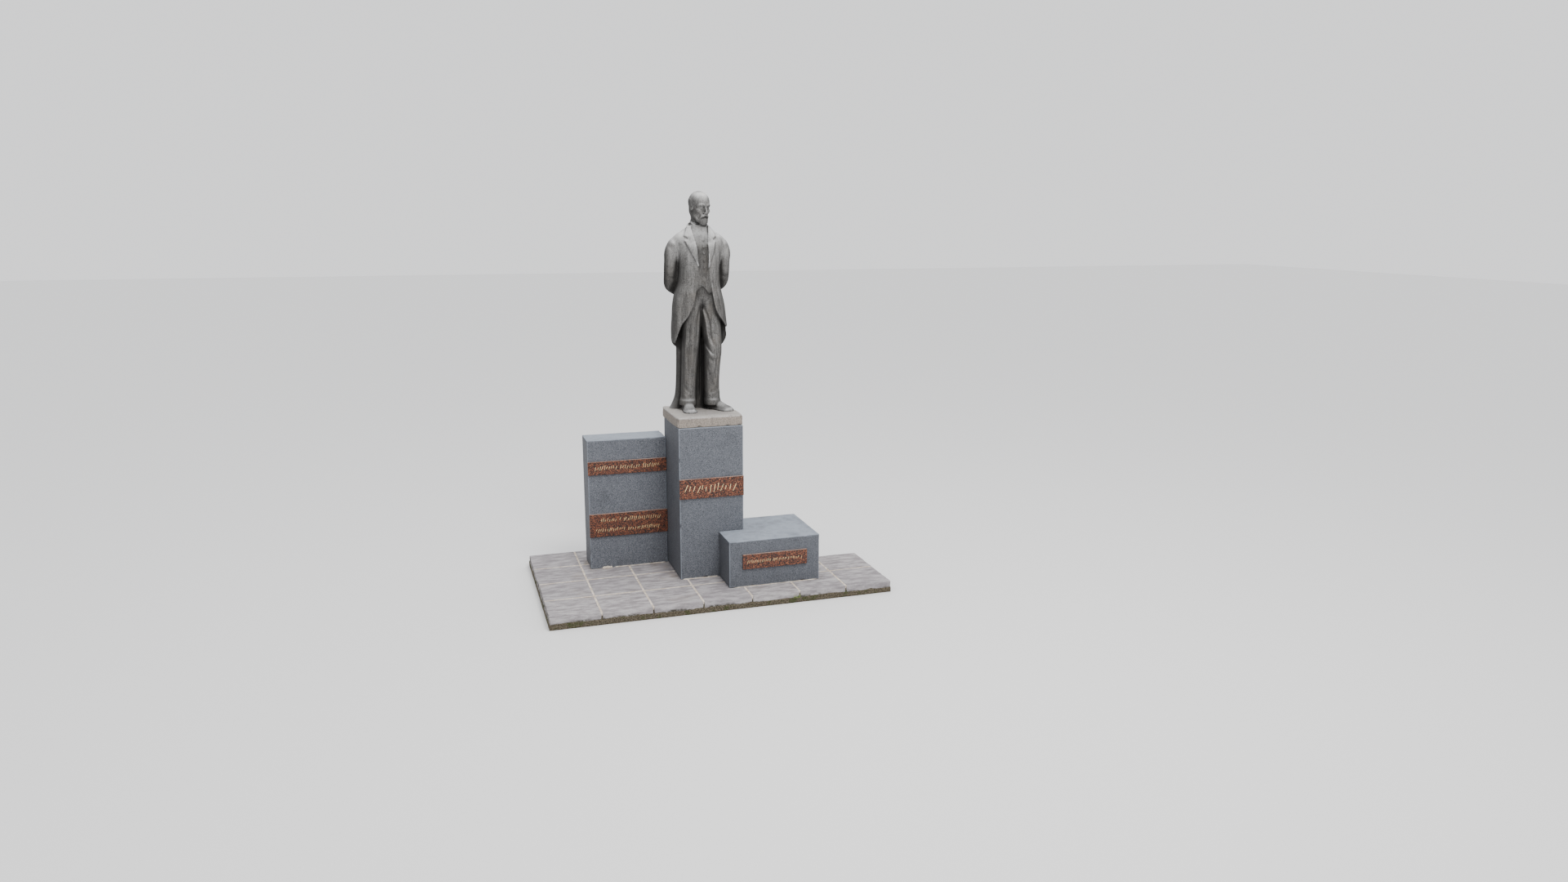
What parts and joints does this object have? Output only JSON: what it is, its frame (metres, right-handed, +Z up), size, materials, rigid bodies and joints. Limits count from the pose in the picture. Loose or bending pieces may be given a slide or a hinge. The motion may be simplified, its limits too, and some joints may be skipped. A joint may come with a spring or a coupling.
{
  "type": "statesman statue",
  "caption": "Carved stone figure of a standing statesman in a long coat, on a tall granite pillar beside a stele and a low block with name plates, all on a floor of square flagstones.",
  "frame": {"origin": "under the middle of the flagstone floor, on the ground", "axes": "+Z up, the figure faces -Y, +X to the right of someone who looks at its face"},
  "size_m": [3.5, 2, 4.0722],
  "materials": {
    "statue_stone": "weathered carved stone, matte",
    "grey_granite": "fine blue-grey granite, honed and weathered",
    "red_granite": "speckled red-brown granite, polished",
    "flagstone": "riven grey natural stone, matte",
    "mortar": "sandy buff mortar, rough"
  },
  "bodies": {
    "root": {"block_plate": "red_granite", "figure": "statue_stone", "flagstone_1_1": "flagstone", "flagstone_1_2": "flagstone", "flagstone_1_3": "flagstone", "flagstone_1_4": "flagstone", "flagstone_1_5": "flagstone", "flagstone_1_6": "flagstone", "flagstone_1_7": "flagstone", "flagstone_2_1": "flagstone", "flagstone_2_2": "flagstone", "flagstone_2_3": "flagstone", "flagstone_2_4": "flagstone", "flagstone_2_5": "flagstone", "flagstone_2_6": "flagstone", "flagstone_2_7": "flagstone", "flagstone_3_1": "flagstone", "flagstone_3_2": "flagstone", "flagstone_3_3": "flagstone", "flagstone_3_4": "flagstone", "flagstone_3_5": "flagstone", "flagstone_3_6": "flagstone", "flagstone_4_1": "flagstone", "flagstone_4_2": "flagstone", "flagstone_4_3": "flagstone", "flagstone_4_4": "flagstone", "flagstone_4_5": "flagstone", "flagstone_4_6": "flagstone", "low_block": "grey_granite", "joint_mortar": "mortar", "mortar_bed": "mortar", "pillar": "grey_granite", "pillar_plate": "red_granite", "stele": "grey_granite", "stele_lower_plate": "red_granite", "stele_upper_plate": "red_granite"}
  },
  "joints": []
}
